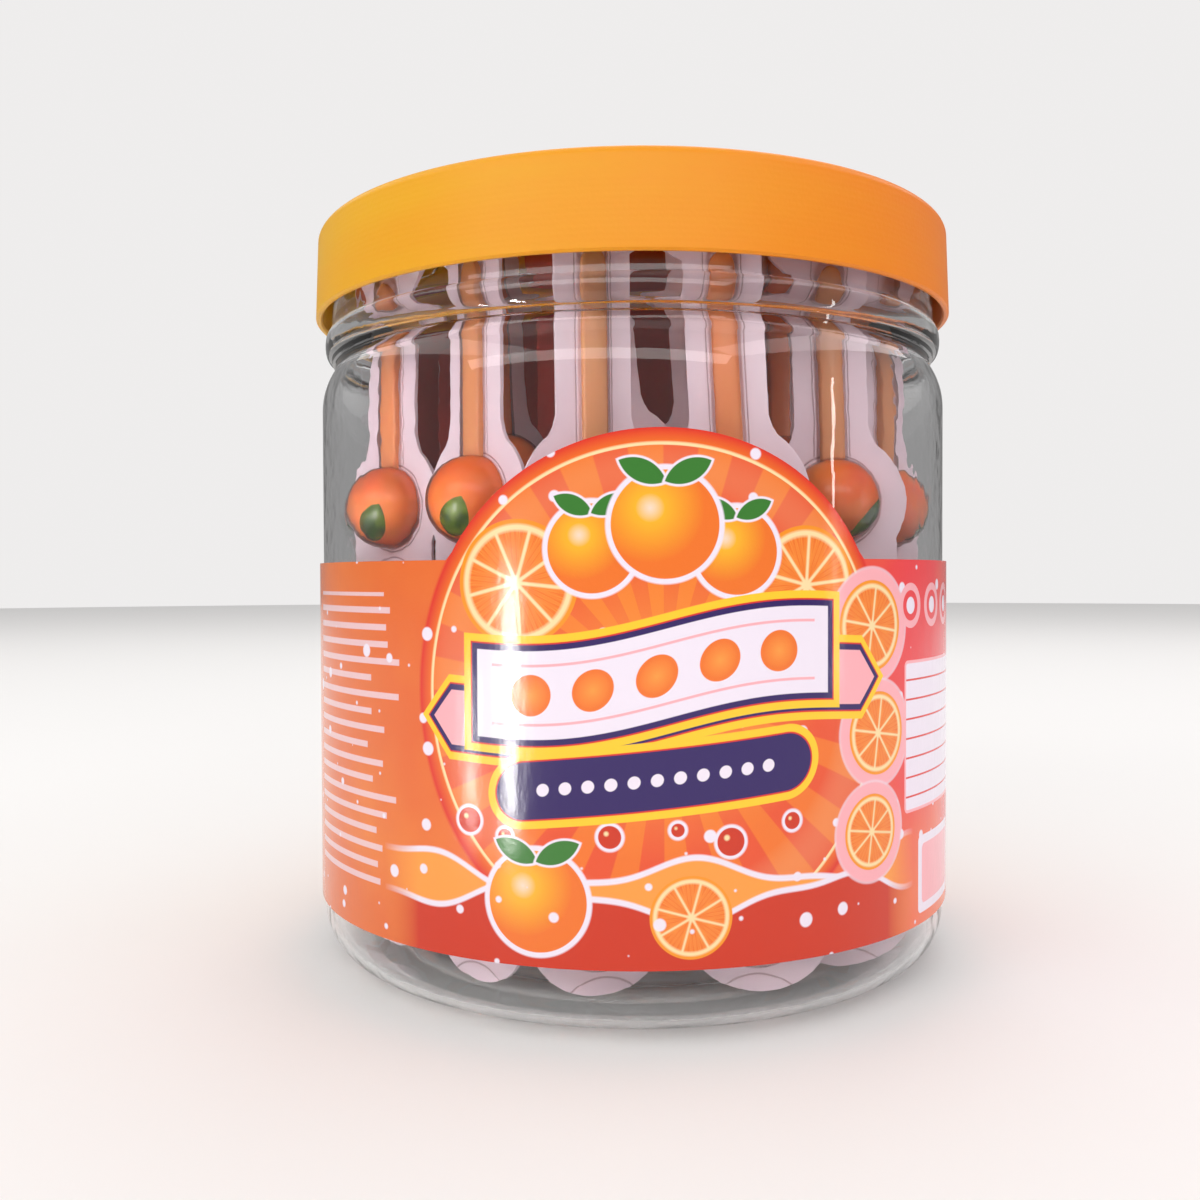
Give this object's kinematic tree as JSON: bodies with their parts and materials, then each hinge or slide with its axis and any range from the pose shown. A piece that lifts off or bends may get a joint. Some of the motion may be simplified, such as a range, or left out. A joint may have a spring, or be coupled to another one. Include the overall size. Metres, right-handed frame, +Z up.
{
  "type": "jar of jam-filled gummy sticks",
  "caption": "Shut clear plastic jar with a screw lid and a wrap-round label, filled with jam-filled gummy balls on sticks, each stick sealed in its own blister card.",
  "frame": {"origin": "centre of the jar's foot, on the surface that it stands on", "axes": "+Z up through the lid; the arched front of the label faces -Y"},
  "size_m": [0.1202, 0.1202, 0.133],
  "materials": {
    "jar_plastic": "clear glossy moulded plastic",
    "lid_plastic": "satin moulded plastic",
    "label_print": "glossy printed film",
    "gummy": "soft glossy gummy",
    "leaf_drop": "glossy green jelly drop",
    "handle_plastic": "translucent amber plastic",
    "card": "milky white sealed backing",
    "blister_film": "clear thin thermoformed film"
  },
  "bodies": {
    "root": {"jar": "jar_plastic", "lid": "lid_plastic", "label": "label_print", "candy_sticks": "gummy"}
  },
  "joints": []
}
